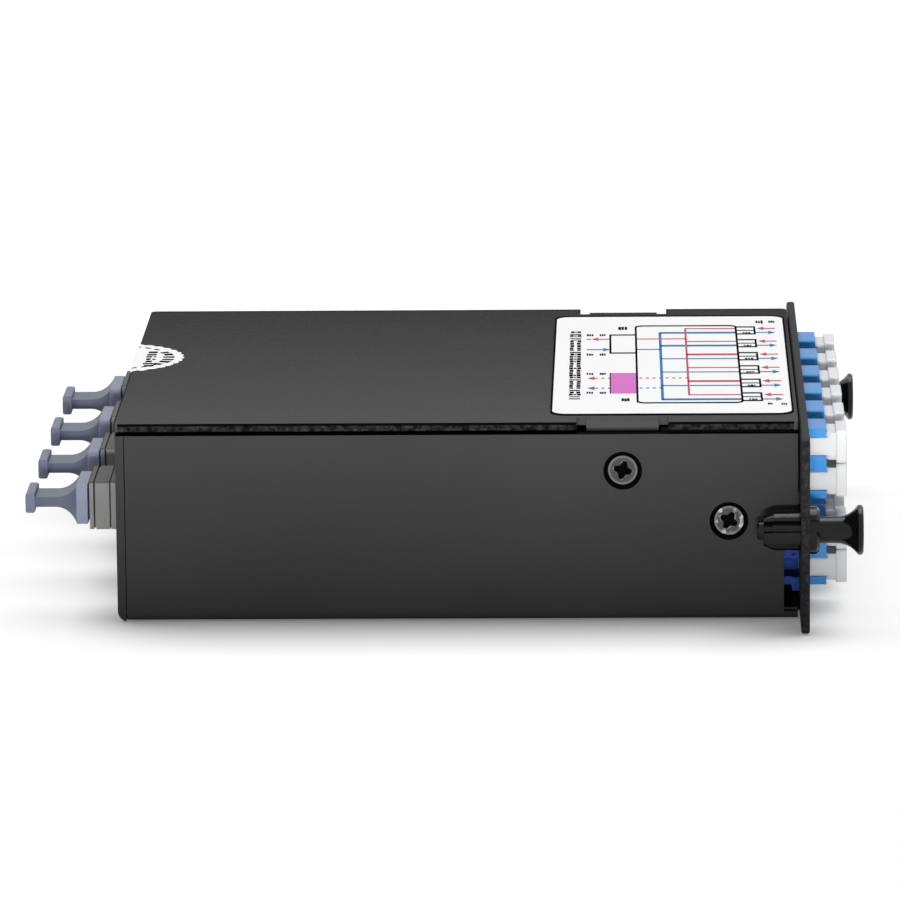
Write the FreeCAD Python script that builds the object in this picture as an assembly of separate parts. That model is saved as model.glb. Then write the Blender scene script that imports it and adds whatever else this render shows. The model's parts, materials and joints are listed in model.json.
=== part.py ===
"""Fibre cassette: a folded steel box with duplex LC ports in front and MPO ports behind.

Millimetres. X = 0 is the rear face of the front plate, and +X points out of its front.
Y = 0 is mid-width. Z = 0 is the lower edge of the front plate, and +Z is up.
"Near" is the -Y side and "far" the +Y side. Columns are numbered from near to far.
"""

import FreeCAD, Part
import math
import os

V = FreeCAD.Vector
X_AXIS = V(1, 0, 0)
Y_AXIS = V(0, 1, 0)
Z_AXIS = V(0, 0, 1)
STRAY = 0.01

# Sheet metal
SHEET = 1.5
BEND_INNER = 0.5
NEST_GAP = 0.1
SEAM = 0.15

# Front plate
PLATE_SHEET = 1.5
PLATE_WIDTH = 130.0
PLATE_HEIGHT = 35.4
PLATE_CORNER = 1.5
PLATE_EDGE = 0.4
EAR_LENGTH = 17.5
EAR_HEIGHT = 11.5
EAR_CORNER = 2.0

# Tray, measured from the front plate's side edges, rear face and lower edge
BODY_INSET = 11.8
BODY_LENGTH = 121.5
TRAY_UNDERSIDE = 0.1
TRAY_FRONT_GAP = 0.35
CORNER_NOTCH_LENGTH = 2.5
CORNER_NOTCH_TOP = 15.5

# Lid
LID_SHEET = 1.5
LID_RISE = 0.7
LID_SHADOW_GAP = 0.65
LID_FRONT_GAP = 0.3
LID_REAR_OVERHANG = 0.2
LID_CORNER = 1.0
NOTCH_WIDTH = 16.3
NOTCH_DEPTH = 4.9
TAB_WIDTH = 12.8
TAB_DROP = 14.0
TAB_CORNER = 2.0

# Side screws, M3 with countersunk heads, and how far each recess is turned
LID_SCREW_X = -31.4
LID_SCREW_DROP = 8.8
LID_SCREW_TURN = 15.0
PLATE_SCREW_X = -12.6
PLATE_SCREW_RISE = 0.4
PLATE_SCREW_TURN = 28.0
SCREW_RADIUS = 1.5
SCREW_HEAD_RADIUS = 2.6
SCREW_RIM = 0.2
SCREW_LENGTH = 7.0
SCREW_FIT = 0.05
COUNTERSINK_RADIUS = 3.4
RECESS_SPAN = 3.2
RECESS_ARM = 0.85
RECESS_DEPTH = 1.2

# Duplex LC adapters, ports one above the other, and the shares of spare height over and under them
LC_COLUMNS = 6
LC_SIDE_MARGIN = 12.45
LC_SHARE_OVER = 0.16
LC_SHARE_UNDER = 0.54
LC_WIDTH = 9.3
LC_HEIGHT = 12.8
LC_EDGE = 0.4
LC_PROUD = 3.4
LC_LENGTH = 26.0
LC_FLANGE_SHEET = 1.3
LC_FLANGE_LIP = 0.85
LC_CUTOUT_GAP = 0.1
LC_PORT_PITCH = 6.3
LC_PORT_WIDTH = 7.9
LC_PORT_HEIGHT = 5.0
LC_PORT_DEPTH = 9.5
LC_SLOT_HEIGHT = 3.4
LC_SLEEVE_RADIUS = 1.3
LC_SLEEVE_BORE = 0.7
LC_SLEEVE_REACH = 4.0
LC_POCKET_DEPTH = 0.3
LC_FRONT_POCKET = (PLATE_SHEET, PLATE_SHEET + 1.4, 2.1)
LC_REAR_POCKET = (-1.8, -0.6, 1.5)

# LC dust caps
LC_CAP_HEAD_WIDTH = 9.2
LC_CAP_HEAD_REACH = 2.85
LC_CAP_HEAD_GAP = 0.1
LC_CAP_HEAD_LENGTH = 1.9
LC_CAP_HEAD_CORNER = 0.5
LC_CAP_NECK_LENGTH = 1.7
LC_CAP_FIT = 0.1
LC_CAP_PLUG_LENGTH = 4.8
LC_CAP_BORE = 1.75
LC_CAP_RIB_INSET = 0.1
LC_CAP_NECK_GAP = 0.3

# MPO adapters
MPO_COUNT = 4
MPO_SIDE_MARGIN = 9.7
MPO_DROP = 15.35
MPO_WIDTH = 14.0
MPO_HEIGHT = 8.7
MPO_EDGE = 0.3
MPO_PROUD = 4.9
MPO_LENGTH = 24.0
MPO_SHOULDER = 0.45
MPO_CUTOUT_GAP = 0.1
MPO_WALL = 0.9
MPO_PORT_DEPTH = 8.0
MPO_WINDOW_WIDTH = 6.8
MPO_WINDOW_HEIGHT = 2.8
MPO_KEY_WIDTH = 3.4
MPO_KEY_DEPTH = 0.5
MPO_FOOT_LENGTH = 1.1
MPO_LIP_LENGTH = 0.75
MPO_GROOVES = (0.2, 0.4)
MPO_GROOVE_DEPTH = 0.3
MPO_LIP_STEP_HEIGHT = 2.6

# MPO dust caps
MPO_CAP_GAP = 0.4
MPO_CAP_HEAD_LENGTH = 1.9
MPO_CAP_HEAD_WIDTH = 12.7
MPO_CAP_HEAD_HEIGHT = 7.05
MPO_CAP_FLARE_LENGTH = 4.0
MPO_CAP_NECK_LENGTH = 3.6
MPO_CAP_NECK_WIDTH = 7.5
MPO_CAP_NECK_HEIGHT = 1.8
MPO_CAP_BAR_LENGTH = 1.7
MPO_CAP_BAR_WIDTH = 9.6
MPO_CAP_BAR_HEIGHT = 3.5
MPO_CAP_ROUND = 0.4
MPO_CAP_FIT = 0.25
MPO_CAP_PLUG_LENGTH = 5.5
MPO_CAP_WALL = 1.0

# Push-pull latches
LATCH_INSET = 6.0
LATCH_HOLE_GAP = 0.1
GROMMET_RADIUS = 3.6
GROMMET_COLLAR_RADIUS = 4.25
GROMMET_COLLAR = 1.8
GROMMET_COLLAR_CHAMFER = 0.55
GROMMET_REACH = 6.6
GROMMET_TIP_RADIUS = 2.75
GROMMET_TIP_LENGTH = 1.9
GROMMET_LIP_LENGTH = 1.3
GROMMET_SLOT = 2.1
GROMMET_SLOT_TURN = 22.0
GROMMET_RING = 0.85
PLUNGER_RADIUS = 2.375
PLUNGER_FIT = 0.075
PLUNGER_STEP_GAP = 0.3
PLUNGER_TIP_RADIUS = 1.7
PLUNGER_TIP_PROUD = 1.1
PLUNGER_HEAD_RADIUS = 4.45
PLUNGER_HEAD_RIM = 0.9
PLUNGER_FLARE_LENGTH = 3.7
PLUNGER_PROUD = 9.5
PLUNGER_CHAMFER = 0.3
PLUNGER_DISH = 0.5
PLUNGER_DISH_MARGIN = 0.9
FAR_PLUNGER_DRAWN = 1.6

# Label and seal
PAPER = 0.12
LABEL_LENGTH = 43.4
LABEL_FRONT_MARGIN = 0.6
LABEL_NEAR_MARGIN = 5.8
LABEL_FAR_MARGIN = 7.2
LABEL_CORNER = 3.0
SEAL_Y = 7.2
SEAL_RADIUS = 13.5
SEAL_ON_LID = 9.0
SEAL_ADAPTER_GAP = 0.6

# Splitters, their rack and the fibre spools inside the tray
SPLITTER_COLUMNS = 12
SPLITTER_LAYERS = 2
SPLITTER_RADIUS = 1.5
SPLITTER_LENGTH = 40.0
SPLITTER_PITCH = 3.6
SPLITTER_FIT = 0.05
RACK_GAP = 7.0
RACK_BASE = 1.2
RACK_MARGIN = 2.0
COMB_LENGTH = 3.0
COMB_INSET = 5.0
SPOOL_GAP = 2.2
SPOOL_SIDE_MARGIN = 18.0
SPOOL_RADIUS = 11.5
SPOOL_FLANGE_RADIUS = 13.8
SPOOL_FLANGE = 1.0
SPOOL_HEIGHT = 12.0
SPOOL_WALL = 1.2

# Worked-out levels and places
BEND_OUTER = BEND_INNER + SHEET
HALF_BODY = PLATE_WIDTH / 2 - BODY_INSET
HALF_INSIDE = HALF_BODY - SHEET
FLOOR_TOP = TRAY_UNDERSIDE + SHEET
LID_TOP = PLATE_HEIGHT + LID_RISE
LID_UNDERSIDE = LID_TOP - LID_SHEET
SIDE_WALL_TOP = LID_UNDERSIDE - LID_SHADOW_GAP
REAR_WALL_X = -BODY_LENGTH
PLATE_FRONT = PLATE_SHEET
LID_SCREW = (LID_SCREW_X, LID_TOP - LID_SCREW_DROP, LID_SCREW_TURN)
PLATE_SCREW = (PLATE_SCREW_X, PLATE_HEIGHT / 2 + PLATE_SCREW_RISE, PLATE_SCREW_TURN)
LC_FRONT = PLATE_FRONT + LC_PROUD
LC_REAR = LC_FRONT - LC_LENGTH
LC_PITCH = 2 * (HALF_BODY - LC_SIDE_MARGIN) / (LC_COLUMNS - 1)
LC_HALF_FLANGE = LC_HEIGHT / 2 + LC_FLANGE_LIP
LC_SPARE = LID_UNDERSIDE - FLOOR_TOP - 4 * LC_HALF_FLANGE
LC_UPPER_Z = LID_UNDERSIDE - LC_SHARE_OVER * LC_SPARE - LC_HALF_FLANGE
LC_LOWER_Z = FLOOR_TOP + LC_SHARE_UNDER * LC_SPARE + LC_HALF_FLANGE
MPO_OUTER = REAR_WALL_X - MPO_PROUD
MPO_PITCH = 2 * (HALF_BODY - MPO_SIDE_MARGIN) / (MPO_COUNT - 1)
MPO_Z = LID_TOP - MPO_DROP
LATCH_Y = PLATE_WIDTH / 2 - LATCH_INSET
LATCH_Z = PLATE_HEIGHT / 2
RACK_X = LC_REAR - RACK_GAP - SPLITTER_LENGTH / 2
SPOOL_X = RACK_X - SPLITTER_LENGTH / 2 - SPOOL_GAP - SPOOL_FLANGE_RADIUS


def block(xs, ys, zs):
    """Box between pairs of low and high X, Y and Z."""
    corner = V(xs[0], ys[0], zs[0])
    return Part.makeBox(xs[1] - xs[0], ys[1] - ys[0], zs[1] - zs[0], corner)


def bar(xs, y, width, z, height):
    """Box along X with its section centred on (y, z)."""
    return block(xs, (y - width / 2, y + width / 2), (z - height / 2, z + height / 2))


def rounded(shape, axis, radius, wanted=lambda centre: True):
    """Fillet the straight edges along an axis whose centres are wanted."""
    edges = []
    for edge in shape.Edges:
        if isinstance(edge.Curve, Part.Line):
            direction = edge.tangentAt(edge.FirstParameter)
            if direction.cross(axis).Length < STRAY and wanted(edge.CenterOfMass):
                edges.append(edge)
    return shape.makeFillet(radius, edges)


def rim_rounded(shape, radius):
    """Fillet the edges round both faces of a plate that lies square to X."""
    return shape.makeFillet(radius, [edge for edge in shape.Edges if edge.BoundBox.XLength < STRAY])


def outline_face(steps, place):
    """Face inside a closed outline. A step is a point, or an arc as (point on it, its end)."""
    edges = []
    here = steps[0]
    for step in steps[1:] + steps[:1]:
        if isinstance(step[0], tuple):
            through, end = step
            edges.append(Part.Arc(place(*here), place(*through), place(*end)).toShape())
            here = end
        else:
            edges.append(Part.LineSegment(place(*here), place(*step)).toShape())
            here = step
    return Part.Face(Part.Wire(edges))


def turned(steps, origin, axis):
    """Solid of revolution of an outline given as distance along the axis and radius."""
    across = Z_AXIS if abs(axis.z) < 0.5 else X_AXIS
    face = outline_face(steps, lambda along, radius: origin + axis * along + across * radius)
    return face.revolve(origin, axis, 360)


def cylinder(start, axis, length, radius):
    return Part.makeCylinder(radius, length, start, axis)


def save(node, shape):
    """Write one node's solids to its STEP file."""
    if not shape.isValid():
        raise ValueError(node + " is not a valid solid")
    shape.exportStep(os.path.join("parts", node + ".step"))


def lc_centres():
    """Row name, column number, Y and Z of every LC adapter."""
    centres = []
    for row, z in (("upper", LC_UPPER_Z), ("lower", LC_LOWER_Z)):
        for column in range(LC_COLUMNS):
            y = (column - (LC_COLUMNS - 1) / 2) * LC_PITCH
            centres.append((row, column + 1, y, z))
    return centres


def mpo_centres():
    """Number and Y of every MPO adapter."""
    return [(i + 1, (i - (MPO_COUNT - 1) / 2) * MPO_PITCH) for i in range(MPO_COUNT)]


def tray():
    """Floor and side walls as a folded channel, and a rear wall folded across its end."""
    walls_x = (REAR_WALL_X + SHEET + SEAM, -TRAY_FRONT_GAP)
    outside = block(walls_x, (-HALF_BODY, HALF_BODY), (TRAY_UNDERSIDE, SIDE_WALL_TOP))
    inside = block(walls_x, (-HALF_INSIDE, HALF_INSIDE), (FLOOR_TOP, LID_TOP))
    outside = rounded(outside, X_AXIS, BEND_OUTER, lambda c: c.z < FLOOR_TOP)
    inside = rounded(inside, X_AXIS, BEND_INNER, lambda c: c.z < LID_UNDERSIDE)
    shape = outside.cut(inside).fuse(rear_wall()).removeSplitter()
    for side in (-1, 1):
        shape = shape.cut(corner_notch(side))
        for screw in (LID_SCREW, PLATE_SCREW):
            shape = shape.cut(screw_space(screw, side))
    return shape


def rear_wall():
    """Rear wall with its bend and the strip of floor that joins it to the channel."""
    seam_x = REAR_WALL_X + SHEET
    leg = (REAR_WALL_X, REAR_WALL_X + 2 * BEND_OUTER)
    outside = block(leg, (-HALF_BODY, HALF_BODY), (TRAY_UNDERSIDE, LID_UNDERSIDE))
    inside = block((seam_x, leg[1]), (-HALF_BODY, HALF_BODY), (FLOOR_TOP, LID_TOP))
    outside = rounded(outside, Y_AXIS, BEND_OUTER, lambda c: c.z < FLOOR_TOP and c.x < seam_x)
    inside = rounded(inside, Y_AXIS, BEND_INNER, lambda c: c.z < LID_UNDERSIDE and c.x < leg[1])
    wall = outside.cut(inside)
    for side in (-1, 1):
        low, high = sorted((side * (HALF_BODY - BEND_OUTER), side * HALF_BODY))
        relief = block((seam_x, leg[1]), (low, high), (0, FLOOR_TOP + BEND_OUTER))
        seam = block(leg, (low, high), (SIDE_WALL_TOP, LID_UNDERSIDE))
        wall = wall.cut([relief, seam])
    for number, y in mpo_centres():
        wall = wall.cut(mpo_inner_bar(y, leg, MPO_CUTOUT_GAP))
    return wall


def corner_notch(side):
    """Opening in the lower front corner of a side wall, behind the front plate."""
    low, high = sorted((side * HALF_INSIDE, side * HALF_BODY))
    front = -TRAY_FRONT_GAP
    return block((front - CORNER_NOTCH_LENGTH, front), (low, high), (FLOOR_TOP, CORNER_NOTCH_TOP))


def screw_space(screw, side):
    """Space of a countersunk hole: a 90 degree cone from the wall's face, then the tapped hole."""
    origin = V(screw[0], side * HALF_BODY, screw[1])
    radius = SCREW_RADIUS + SCREW_FIT
    steps = [
        (0, 0),
        (0, COUNTERSINK_RADIUS),
        (COUNTERSINK_RADIUS - radius, radius),
        (SCREW_LENGTH + SCREW_FIT, radius),
        (SCREW_LENGTH + SCREW_FIT, 0),
    ]
    return turned(steps, origin, V(0, -side, 0))


def lid():
    """Flat lid with a notch in each long edge, and a tab folded down in each notch."""
    front = -LID_FRONT_GAP
    rear = REAR_WALL_X - LID_REAR_OVERHANG
    shape = block((rear, front), (-HALF_BODY, HALF_BODY), (LID_UNDERSIDE, LID_TOP))
    shape = rounded(shape, Z_AXIS, LID_CORNER)
    for side in (-1, 1):
        shape = shape.cut(lid_notch(side)).fuse(lid_tab(side))
    return shape.removeSplitter()


def lid_notch(side):
    low, high = sorted((side * (HALF_BODY - NOTCH_DEPTH), side * HALF_BODY))
    half = NOTCH_WIDTH / 2
    return block((LID_SCREW[0] - half, LID_SCREW[0] + half), (low, high), (0, LID_TOP))


def lid_tab(side):
    """Tab that leaves the notch's floor, bends down and lies inside the side wall."""
    outer = HALF_INSIDE - NEST_GAP
    inner = outer - LID_SHEET
    root = HALF_BODY - NOTCH_DEPTH
    foot = LID_TOP - TAB_DROP
    bend_outer = BEND_INNER + LID_SHEET
    half_way = 1 - math.sqrt(0.5)
    outer_mid = bend_outer * half_way
    inner_mid = BEND_INNER * half_way
    steps = [
        (root, LID_TOP),
        (outer - bend_outer, LID_TOP),
        ((outer - outer_mid, LID_TOP - outer_mid), (outer, LID_TOP - bend_outer)),
        (outer, foot),
        (inner, foot),
        (inner, LID_TOP - bend_outer),
        ((inner - inner_mid, LID_UNDERSIDE - inner_mid), (inner - BEND_INNER, LID_UNDERSIDE)),
        (root, LID_UNDERSIDE),
    ]
    start = LID_SCREW[0] - TAB_WIDTH / 2
    face = outline_face(steps, lambda y, z: V(start, side * y, z))
    shape = face.extrude(V(TAB_WIDTH, 0, 0))
    shape = rounded(shape, Y_AXIS, TAB_CORNER, lambda c: c.z < foot + LID_SHEET)
    return shape.cut(screw_space(LID_SCREW, side))


def faceplate():
    """Front plate with its port cut-outs, latch holes and two ears that take the side screws."""
    shape = bar((0, PLATE_FRONT), 0, PLATE_WIDTH, PLATE_HEIGHT / 2, PLATE_HEIGHT)
    shape = rim_rounded(rounded(shape, X_AXIS, PLATE_CORNER), PLATE_EDGE)
    for row, column, y, z in lc_centres():
        width = LC_WIDTH + 2 * LC_CUTOUT_GAP
        height = LC_HEIGHT + 2 * LC_CUTOUT_GAP
        shape = shape.cut(bar((0, PLATE_FRONT), y, width, z, height))
    for side in (-1, 1):
        start = V(0, side * LATCH_Y, LATCH_Z)
        shape = shape.cut(cylinder(start, X_AXIS, PLATE_FRONT, GROMMET_RADIUS + LATCH_HOLE_GAP))
        shape = shape.fuse(ear(side))
    return shape.removeSplitter()


def ear(side):
    """Flange folded back from the plate, lying inside the side wall."""
    outer = HALF_INSIDE - NEST_GAP
    ys = sorted((side * (outer - PLATE_SHEET), side * outer))
    z = PLATE_SCREW[1]
    shape = block((-EAR_LENGTH, 0), ys, (z - EAR_HEIGHT / 2, z + EAR_HEIGHT / 2))
    shape = rounded(shape, Y_AXIS, EAR_CORNER, lambda c: c.x < -EAR_LENGTH / 2)
    return shape.cut(screw_space(PLATE_SCREW, side))


def side_screw(screw, side):
    """Countersunk screw with a cross recess, its head sunk below the wall's face."""
    x, z, turn = screw
    axis = V(0, -side, 0)
    seat = COUNTERSINK_RADIUS - SCREW_HEAD_RADIUS - SCREW_FIT
    top = seat - SCREW_RIM
    origin = V(x, side * HALF_BODY, z)
    steps = [
        (top, 0),
        (top, SCREW_HEAD_RADIUS),
        (seat, SCREW_HEAD_RADIUS),
        (seat + SCREW_HEAD_RADIUS - SCREW_RADIUS, SCREW_RADIUS),
        (SCREW_LENGTH, SCREW_RADIUS),
        (SCREW_LENGTH, 0),
    ]
    shape = turned(steps, origin, axis)
    ys = sorted((side * (HALF_BODY - top), side * (HALF_BODY - top - RECESS_DEPTH)))
    half_span = RECESS_SPAN / 2
    half_arm = RECESS_ARM / 2
    for quarter in (0, 90):
        arm = block((x - half_span, x + half_span), ys, (z - half_arm, z + half_arm))
        arm.rotate(origin, Y_AXIS, turn + quarter)
        shape = shape.cut(arm)
    return shape


def side_screws():
    """The four screws, as separate solids of one node."""
    screws = [side_screw(screw, side) for screw in (LID_SCREW, PLATE_SCREW) for side in (-1, 1)]
    return Part.makeCompound(screws)


def lc_adapter(y, z):
    """Duplex adapter: two ports at each end, latch slots on its near side and a rear flange."""
    shape = bar((LC_REAR, LC_FRONT), y, LC_WIDTH, z, LC_HEIGHT)
    shape = rounded(shape, X_AXIS, LC_EDGE)
    lip = 2 * LC_FLANGE_LIP
    shape = shape.fuse(bar((-LC_FLANGE_SHEET, 0), y, LC_WIDTH + lip, z, LC_HEIGHT + lip))
    for port_z in (z - LC_PORT_PITCH / 2, z + LC_PORT_PITCH / 2):
        for mouth, inward in ((LC_FRONT, -1), (LC_REAR, 1)):
            shape = shape.cut(lc_port(y, port_z, mouth, inward))
        shape = shape.fuse(lc_sleeve(y, port_z))
        shape = shape.cut(cylinder(V(LC_REAR, y, port_z), X_AXIS, LC_LENGTH, LC_SLEEVE_BORE))
    for side in (-1, 1):
        for pocket in (LC_FRONT_POCKET, LC_REAR_POCKET):
            shape = shape.cut(lc_pocket(y, z, side, pocket))
    return shape.removeSplitter()


def lc_port(y, z, mouth, inward):
    """Space of one port from its mouth inwards, with the slot for a plug's latch."""
    xs = sorted((mouth, mouth + inward * LC_PORT_DEPTH))
    space = bar(xs, y, LC_PORT_WIDTH, z, LC_PORT_HEIGHT)
    slot = block(xs, (y - LC_WIDTH, y), (z - LC_SLOT_HEIGHT / 2, z + LC_SLOT_HEIGHT / 2))
    return space.fuse(slot)


def lc_sleeve(y, z):
    """Round sleeve holder that stands in both ports of one line."""
    length = LC_LENGTH - 2 * (LC_PORT_DEPTH - LC_SLEEVE_REACH)
    start = V(LC_REAR + LC_PORT_DEPTH - LC_SLEEVE_REACH, y, z)
    return cylinder(start, X_AXIS, length, LC_SLEEVE_RADIUS)


def lc_pocket(y, z, side, pocket):
    """Shallow pocket beside the plate, in the web between the two latch slots."""
    start, end, height = pocket
    outside = y + side * LC_WIDTH
    ys = sorted((outside, y + side * (LC_WIDTH / 2 - LC_POCKET_DEPTH)))
    return block((start, end), ys, (z - height / 2, z + height / 2))


def lc_cap(y, z, side):
    """Dust plug with a rib in the latch slot, a neck, and a head that reaches towards its twin."""
    width = LC_PORT_WIDTH - 2 * LC_CAP_FIT
    height = LC_PORT_HEIGHT - 2 * LC_CAP_FIT
    rib = LC_SLOT_HEIGHT - 2 * LC_CAP_FIT
    rib_face = y - LC_WIDTH / 2 + LC_CAP_RIB_INSET
    head_x = LC_FRONT + LC_CAP_NECK_LENGTH
    inner_end = LC_FRONT - LC_CAP_PLUG_LENGTH
    head_y = (y - LC_CAP_HEAD_WIDTH / 2, y + LC_CAP_HEAD_WIDTH / 2)
    head_z = sorted((z + side * LC_CAP_HEAD_REACH, z - side * (LC_PORT_PITCH - LC_CAP_HEAD_GAP) / 2))
    head = block((head_x, head_x + LC_CAP_HEAD_LENGTH), head_y, head_z)
    head = rounded(head, X_AXIS, LC_CAP_HEAD_CORNER)
    plug = bar((inner_end, head_x), y, width, z, height)
    rib_bar = block((inner_end, head_x), (rib_face, y), (z - rib / 2, z + rib / 2))
    neck = block((LC_FRONT + LC_CAP_NECK_GAP, head_x), (rib_face, y), (z - height / 2, z + height / 2))
    bore = cylinder(V(inner_end, y, z), X_AXIS, LC_CAP_PLUG_LENGTH, LC_CAP_BORE)
    return head.fuse([plug, rib_bar, neck]).cut(bore).removeSplitter()


def mpo_inner_bar(y, xs, gap):
    """Bar of the adapter's section inside the rear wall, grown by a gap all round."""
    grow = 2 * (gap - MPO_SHOULDER)
    return bar(xs, y, MPO_WIDTH + grow, MPO_Z, MPO_HEIGHT + grow)


def mpo_adapter(y):
    """MPO adapter: shouldered outer end, grooves round it, a port at each end and a window."""
    inner_end = MPO_OUTER + MPO_LENGTH
    shape = bar((MPO_OUTER, REAR_WALL_X), y, MPO_WIDTH, MPO_Z, MPO_HEIGHT)
    shape = rounded(shape, X_AXIS, MPO_EDGE)
    shape = shape.fuse(mpo_inner_bar(y, (REAR_WALL_X, inner_end), 0))
    for groove_x, length in mpo_grooves():
        shape = shape.cut(mpo_groove(y, groove_x, length))
    for mouth, inward in ((MPO_OUTER, 1), (inner_end, -1)):
        shape = shape.cut(mpo_port(y, mouth, inward))
    shape = shape.cut(bar((MPO_OUTER, inner_end), y, MPO_WINDOW_WIDTH, MPO_Z, MPO_WINDOW_HEIGHT))
    for side in (-1, 1):
        shape = shape.cut(mpo_lip_step(y, side))
    return shape.removeSplitter()


def mpo_grooves():
    """Start and length of the groove behind the foot and of the one behind the lip."""
    foot, lip = MPO_GROOVES
    return (
        (REAR_WALL_X - MPO_FOOT_LENGTH - foot, foot),
        (MPO_OUTER + MPO_LIP_LENGTH, lip),
    )


def mpo_groove(y, x, length):
    """Shallow groove all round the adapter."""
    xs = (x, x + length)
    around = bar(xs, y, MPO_WIDTH, MPO_Z, MPO_HEIGHT)
    shrink = 2 * MPO_GROOVE_DEPTH
    return around.cut(bar(xs, y, MPO_WIDTH - shrink, MPO_Z, MPO_HEIGHT - shrink))


def mpo_port_size():
    inset = 2 * (MPO_SHOULDER + MPO_WALL)
    return MPO_WIDTH - inset, MPO_HEIGHT - inset


def mpo_port(y, mouth, inward):
    """Space of one port with the key slot in its upper wall."""
    width, height = mpo_port_size()
    xs = sorted((mouth, mouth + inward * MPO_PORT_DEPTH))
    space = bar(xs, y, width, MPO_Z, height)
    key_top = MPO_Z + height / 2 + MPO_KEY_DEPTH
    return space.fuse(block(xs, (y - MPO_KEY_WIDTH / 2, y + MPO_KEY_WIDTH / 2), (MPO_Z, key_top)))


def mpo_lip_step(y, side):
    """Step cut in a lower corner of the adapter's lip."""
    face = y + side * MPO_WIDTH / 2
    ys = sorted((face, face - side * MPO_GROOVE_DEPTH))
    bottom = MPO_Z - MPO_HEIGHT / 2
    return block((MPO_OUTER, MPO_OUTER + MPO_LIP_LENGTH), ys, (bottom, bottom + MPO_LIP_STEP_HEIGHT))


def flare(wide, narrow, places, place):
    """Face from a wide end to a narrow one, both edges hollow arcs that run into a straight neck."""
    root_x, neck_x, end_x = places
    run = root_x - neck_x
    rise = (wide - narrow) / 2
    radius = (run**2 + rise**2) / (2 * rise)
    half_turn = math.asin(run / radius) / 2
    mid = (neck_x + radius * math.sin(half_turn), narrow / 2 + radius * (1 - math.cos(half_turn)))
    steps = [
        (root_x, wide / 2),
        (mid, (neck_x, narrow / 2)),
        (end_x, narrow / 2),
        (end_x, -narrow / 2),
        (neck_x, -narrow / 2),
        ((mid[0], -mid[1]), (root_x, -wide / 2)),
    ]
    return outline_face(steps, place)


def mpo_cap(y):
    """Dust cap: hollow plug, head, a neck that flares on all four sides, and a cross bar."""
    face_x = MPO_OUTER - MPO_CAP_GAP
    root_x = face_x - MPO_CAP_HEAD_LENGTH
    neck_x = root_x - MPO_CAP_FLARE_LENGTH
    bar_x = neck_x - MPO_CAP_NECK_LENGTH
    places = (root_x, neck_x, bar_x)
    side_view = flare(
        MPO_CAP_HEAD_HEIGHT,
        MPO_CAP_NECK_HEIGHT,
        places,
        lambda x, z: V(x, y - MPO_CAP_HEAD_WIDTH / 2, MPO_Z + z),
    ).extrude(V(0, MPO_CAP_HEAD_WIDTH, 0))
    top_view = flare(
        MPO_CAP_HEAD_WIDTH,
        MPO_CAP_NECK_WIDTH,
        places,
        lambda x, across: V(x, y + across, MPO_Z - MPO_CAP_HEAD_HEIGHT / 2),
    ).extrude(V(0, 0, MPO_CAP_HEAD_HEIGHT))
    head = bar((root_x, face_x), y, MPO_CAP_HEAD_WIDTH, MPO_Z, MPO_CAP_HEAD_HEIGHT)
    bar_xs = (bar_x - MPO_CAP_BAR_LENGTH, bar_x)
    handle = bar(bar_xs, y, MPO_CAP_BAR_WIDTH, MPO_Z, MPO_CAP_BAR_HEIGHT)
    handle = rounded(handle, Y_AXIS, MPO_CAP_ROUND)
    head = rounded(head, X_AXIS, MPO_CAP_ROUND)
    neck = side_view.common(top_view)
    return handle.fuse([neck, head, mpo_cap_plug(y, face_x)]).removeSplitter()


def mpo_cap_plug(y, face_x):
    """Hollow plug that fills the mouth of the port."""
    width, height = mpo_port_size()
    width -= 2 * MPO_CAP_FIT
    height -= 2 * MPO_CAP_FIT
    plug = bar((face_x, face_x + MPO_CAP_PLUG_LENGTH), y, width, MPO_Z, height)
    hollow_x = (face_x + MPO_CAP_WALL, face_x + MPO_CAP_PLUG_LENGTH)
    return plug.cut(bar(hollow_x, y, width - 2 * MPO_CAP_WALL, MPO_Z, height - 2 * MPO_CAP_WALL))


def latch_grommet(side):
    """Collared bush split into four prongs behind the plate, with notches in its collar."""
    y = side * LATCH_Y
    bore = PLUNGER_RADIUS + PLUNGER_FIT
    tip_bore = PLUNGER_TIP_RADIUS + PLUNGER_FIT
    collar_x = PLATE_FRONT + GROMMET_COLLAR
    steps = [
        (collar_x, bore),
        (collar_x, GROMMET_COLLAR_RADIUS - GROMMET_COLLAR_CHAMFER),
        (collar_x - GROMMET_COLLAR_CHAMFER, GROMMET_COLLAR_RADIUS),
        (PLATE_FRONT, GROMMET_COLLAR_RADIUS),
        (PLATE_FRONT, GROMMET_RADIUS),
        (GROMMET_TIP_LENGTH - GROMMET_REACH, GROMMET_RADIUS),
        (-GROMMET_REACH, GROMMET_TIP_RADIUS),
        (-GROMMET_REACH, tip_bore),
        (GROMMET_LIP_LENGTH - GROMMET_REACH, tip_bore),
        (GROMMET_LIP_LENGTH - GROMMET_REACH, bore),
    ]
    origin = V(0, y, LATCH_Z)
    shape = turned(steps, origin, X_AXIS)
    beyond = y + 2 * GROMMET_COLLAR_RADIUS
    zs = (LATCH_Z - GROMMET_SLOT / 2, LATCH_Z + GROMMET_SLOT / 2)
    slot = block((-GROMMET_REACH, 0), (y, beyond), zs)
    notch = block((PLATE_FRONT, collar_x), (y + bore + GROMMET_RING, beyond), zs)
    gaps = Part.makeCompound([slot, notch])
    gaps.rotate(origin, X_AXIS, -GROMMET_SLOT_TURN)
    for quarter in range(4):
        shape = shape.cut(gaps)
        gaps.rotate(origin, X_AXIS, 90)
    return shape


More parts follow.
